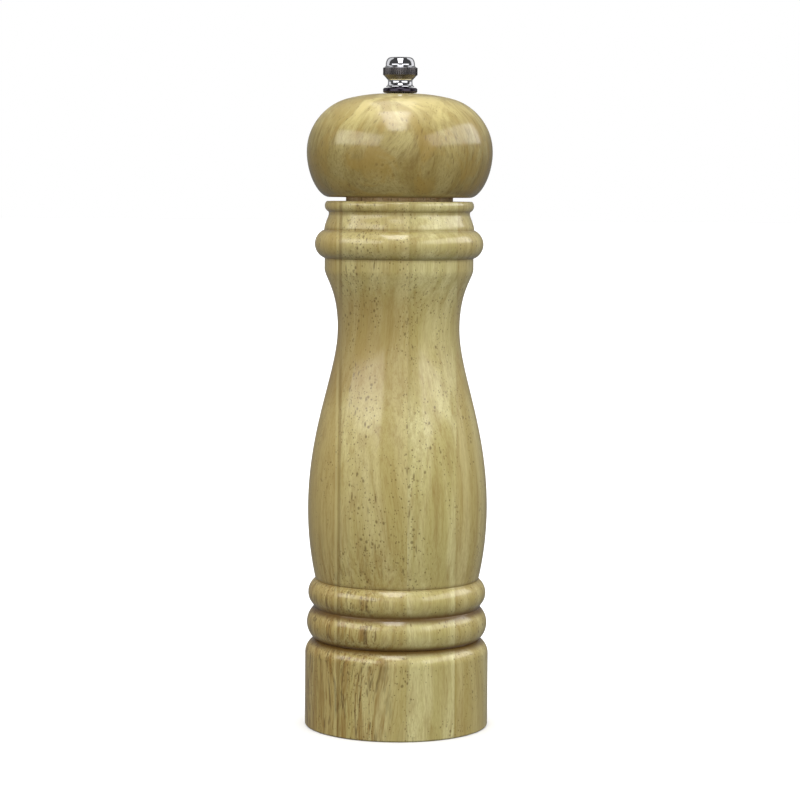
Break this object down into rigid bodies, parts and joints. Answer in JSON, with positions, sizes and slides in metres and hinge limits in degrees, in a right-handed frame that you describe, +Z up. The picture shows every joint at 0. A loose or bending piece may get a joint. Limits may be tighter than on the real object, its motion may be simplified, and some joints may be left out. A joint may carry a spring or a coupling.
{
  "type": "pepper mill",
  "caption": "Tall turned wooden pepper mill: beaded base, waisted body, round head, small knurled metal knob; turning the head grinds, the knob sets how fine.",
  "frame": {"origin": "centre of the base, on the surface that the mill stands on", "axes": "+Z up along the shaft to the knob; +X along the retainer bar under the base; +Y away from the viewer"},
  "size_m": [0.0566, 0.0566, 0.2052],
  "materials": {
    "body_wood": "pale close-grained hardwood, semi-gloss clear lacquer",
    "head_wood": "same pale hardwood, swirling end grain, semi-gloss clear lacquer",
    "burr_steel": "dark hardened steel, satin",
    "plated_sheet": "stamped sheet steel, bright zinc plate",
    "spring_steel": "drawn spring wire, smooth",
    "shaft_steel": "drawn square bar, fine lengthwise lines",
    "screw_zinc": "zinc plated",
    "knob_chrome": "polished chrome plate"
  },
  "bodies": {
    "body": {"body_shell": "body_wood", "stator_burr": "burr_steel", "shaft_bridge": "plated_sheet", "retainer_bar": "plated_sheet", "retainer_screw_1": "screw_zinc", "retainer_screw_2": "screw_zinc"},
    "thrust": {"thrust_washer": "plated_sheet", "compression_spring": "spring_steel"},
    "spindle": {"drive_shaft": "shaft_steel", "rotor_burr": "burr_steel", "rotor_clip": "spring_steel", "rotor_washer": "plated_sheet"},
    "head": {"head": "head_wood", "drive_plate": "plated_sheet", "drive_plate_screw_1": "screw_zinc", "drive_plate_screw_2": "screw_zinc", "drive_plate_screw_3": "screw_zinc"},
    "disc": {"knob_disc": "knob_chrome"},
    "knob": {"adjusting_knob": "knob_chrome"}
  },
  "joints": [
    {"name": "grind_spin", "type": "hinge", "parent": "body", "child": "thrust", "pos_m": [0, 0, 0], "axis": [0, 0, 1], "continuous": true},
    {"name": "grind_adjust", "type": "slide", "parent": "thrust", "child": "spindle", "axis": [0, 0, 1], "range_m": [-0.0008, 0.0008], "deforming": ["compression_spring"]},
    {"name": "head_lift", "type": "slide", "parent": "thrust", "child": "head", "axis": [0, 0, 1], "range_m": [0, 0.06]},
    {"name": "knob_lift", "type": "slide", "parent": "head", "child": "disc", "axis": [0, 0, 1], "range_m": [0, 0.012]},
    {"name": "knob_turn", "type": "hinge", "parent": "disc", "child": "knob", "pos_m": [0, 0, 0.19625], "axis": [0, 0, 1], "range_deg": [-360, 360]}
  ],
  "couplings": [
    {"joint": "knob_turn", "follows": "grind_adjust", "rad_per_m": -7854}
  ]
}
